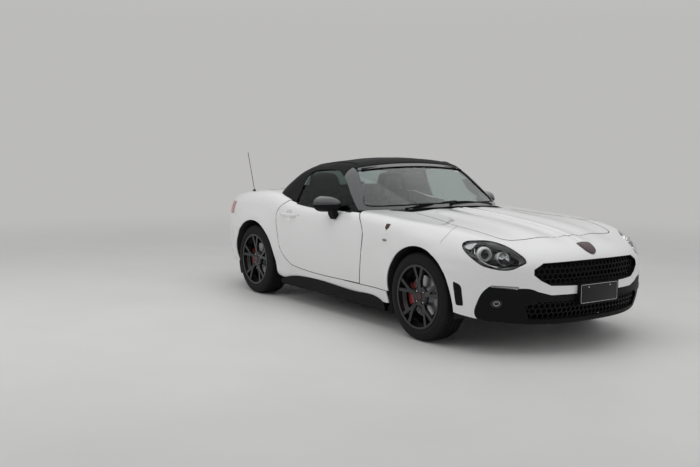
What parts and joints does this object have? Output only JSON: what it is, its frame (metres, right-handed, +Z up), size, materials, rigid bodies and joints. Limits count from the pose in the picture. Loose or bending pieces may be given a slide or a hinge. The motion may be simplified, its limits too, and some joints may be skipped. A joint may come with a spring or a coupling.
{
  "type": "roadster convertible car",
  "caption": "Two-seat open sports car with a raised fabric roof, steered front wheels, side doors, a hinged hood and a hinged trunk lid.",
  "frame": {"origin": "on the ground under the middle of the car's length and width", "axes": "+X to the car's left, the nose towards -Y, +Z up"},
  "size_m": [1.91, 4.054, 1.2568],
  "materials": {
    "white_paint": "gloss",
    "black_trim": "matte",
    "black_gloss": "gloss",
    "glass": "clear",
    "lamp_clear": "clear",
    "lamp_red": "gloss",
    "lamp_bowl": "gloss",
    "fabric_top": "woven",
    "tyre": "matte",
    "black_alloy": "gloss",
    "steel": "brushed",
    "dark_steel": "satin",
    "engine": "cast",
    "leather": "soft",
    "interior": "matte",
    "under_paint": "satin"
  },
  "bodies": {
    "body": {"cowl_panel": "black_trim", "front_bumper": "white_paint", "front_apron": "black_trim", "intake_mesh": "black_trim", "upper_grille": "black_trim", "front_fenders": "white_paint", "rear_body": "white_paint", "rear_bumper": "white_paint", "rear_diffuser": "black_trim", "tail_lamps": "lamp_red", "headlamps": "lamp_bowl", "lamp_lenses": "lamp_clear", "windscreen_frame": "black_gloss", "windscreen": "glass", "soft_top": "fabric_top", "rear_window": "glass", "floor_tub": "under_paint", "trunk_tub": "under_paint", "front_rails": "under_paint", "dashboard": "interior", "seats": "leather", "side_skirts": "black_trim", "powertrain": "engine", "exhaust": "steel", "front_suspension": "dark_steel", "rear_suspension": "dark_steel", "antenna": "black_trim", "plate_bases": "black_trim"},
    "hood": {"hood": "white_paint"},
    "trunk_lid": {"trunk_lid": "white_paint"},
    "steering_wheel": {"steering_wheel": "leather"},
    "door_left": {"door_left": "white_paint", "door_glass_left": "glass", "mirror_left": "black_gloss"},
    "knuckle_left": {"knuckle_left": "dark_steel"},
    "wheel_front_left": {"tyre_front_left": "tyre", "wheel_front_left": "black_alloy", "brake_disc_front_left": "steel"},
    "wheel_rear_left": {"tyre_rear_left": "tyre", "wheel_rear_left": "black_alloy", "brake_disc_rear_left": "steel"},
    "door_right": {"door_right": "white_paint", "door_glass_right": "glass", "mirror_right": "black_gloss"},
    "knuckle_right": {"knuckle_right": "dark_steel"},
    "wheel_front_right": {"tyre_front_right": "tyre", "wheel_front_right": "black_alloy", "brake_disc_front_right": "steel"},
    "wheel_rear_right": {"tyre_rear_right": "tyre", "wheel_rear_right": "black_alloy", "brake_disc_rear_right": "steel"}
  },
  "joints": [
    {"name": "steer_left", "type": "hinge", "parent": "body", "child": "knuckle_left", "pos_m": [0.712, -1.159, 0.308], "axis": [0, 0, 1], "range_deg": [-34, 34]},
    {"name": "spin_front_left", "type": "hinge", "parent": "knuckle_left", "child": "wheel_front_left", "pos_m": [0.748, -1.159, 0.308], "axis": [1, 0, 0], "continuous": true},
    {"name": "spin_rear_left", "type": "hinge", "parent": "body", "child": "wheel_rear_left", "pos_m": [0.7515, 1.151, 0.308], "axis": [1, 0, 0], "continuous": true},
    {"name": "open_door_left", "type": "hinge", "parent": "body", "child": "door_left", "pos_m": [0.784, -0.34, 0.56], "axis": [0, 0, 1], "range_deg": [-62, 0]},
    {"name": "steer_right", "type": "hinge", "parent": "body", "child": "knuckle_right", "pos_m": [-0.712, -1.159, 0.308], "axis": [0, 0, 1], "range_deg": [-34, 34]},
    {"name": "spin_front_right", "type": "hinge", "parent": "knuckle_right", "child": "wheel_front_right", "pos_m": [-0.748, -1.159, 0.308], "axis": [1, 0, 0], "continuous": true},
    {"name": "spin_rear_right", "type": "hinge", "parent": "body", "child": "wheel_rear_right", "pos_m": [-0.7515, 1.151, 0.308], "axis": [1, 0, 0], "continuous": true},
    {"name": "open_door_right", "type": "hinge", "parent": "body", "child": "door_right", "pos_m": [-0.784, -0.34, 0.56], "axis": [0, 0, 1], "range_deg": [0, 62]},
    {"name": "open_hood", "type": "hinge", "parent": "body", "child": "hood", "pos_m": [0, -0.6, 0.812], "axis": [1, 0, 0], "range_deg": [-50, 0]},
    {"name": "open_trunk", "type": "hinge", "parent": "body", "child": "trunk_lid", "pos_m": [0, 1.15, 0.905], "axis": [1, 0, 0], "range_deg": [0, 60]},
    {"name": "steering_wheel_turn", "type": "hinge", "parent": "body", "child": "steering_wheel", "pos_m": [-0.37, -0.062, 0.69], "axis": [0, -0.9135, -0.4067], "range_deg": [-510, 510]}
  ],
  "couplings": [
    {"joint": "steer_left", "follows": "steer_right", "ratio": 1},
    {"joint": "steering_wheel_turn", "follows": "steer_right", "ratio": -15}
  ]
}
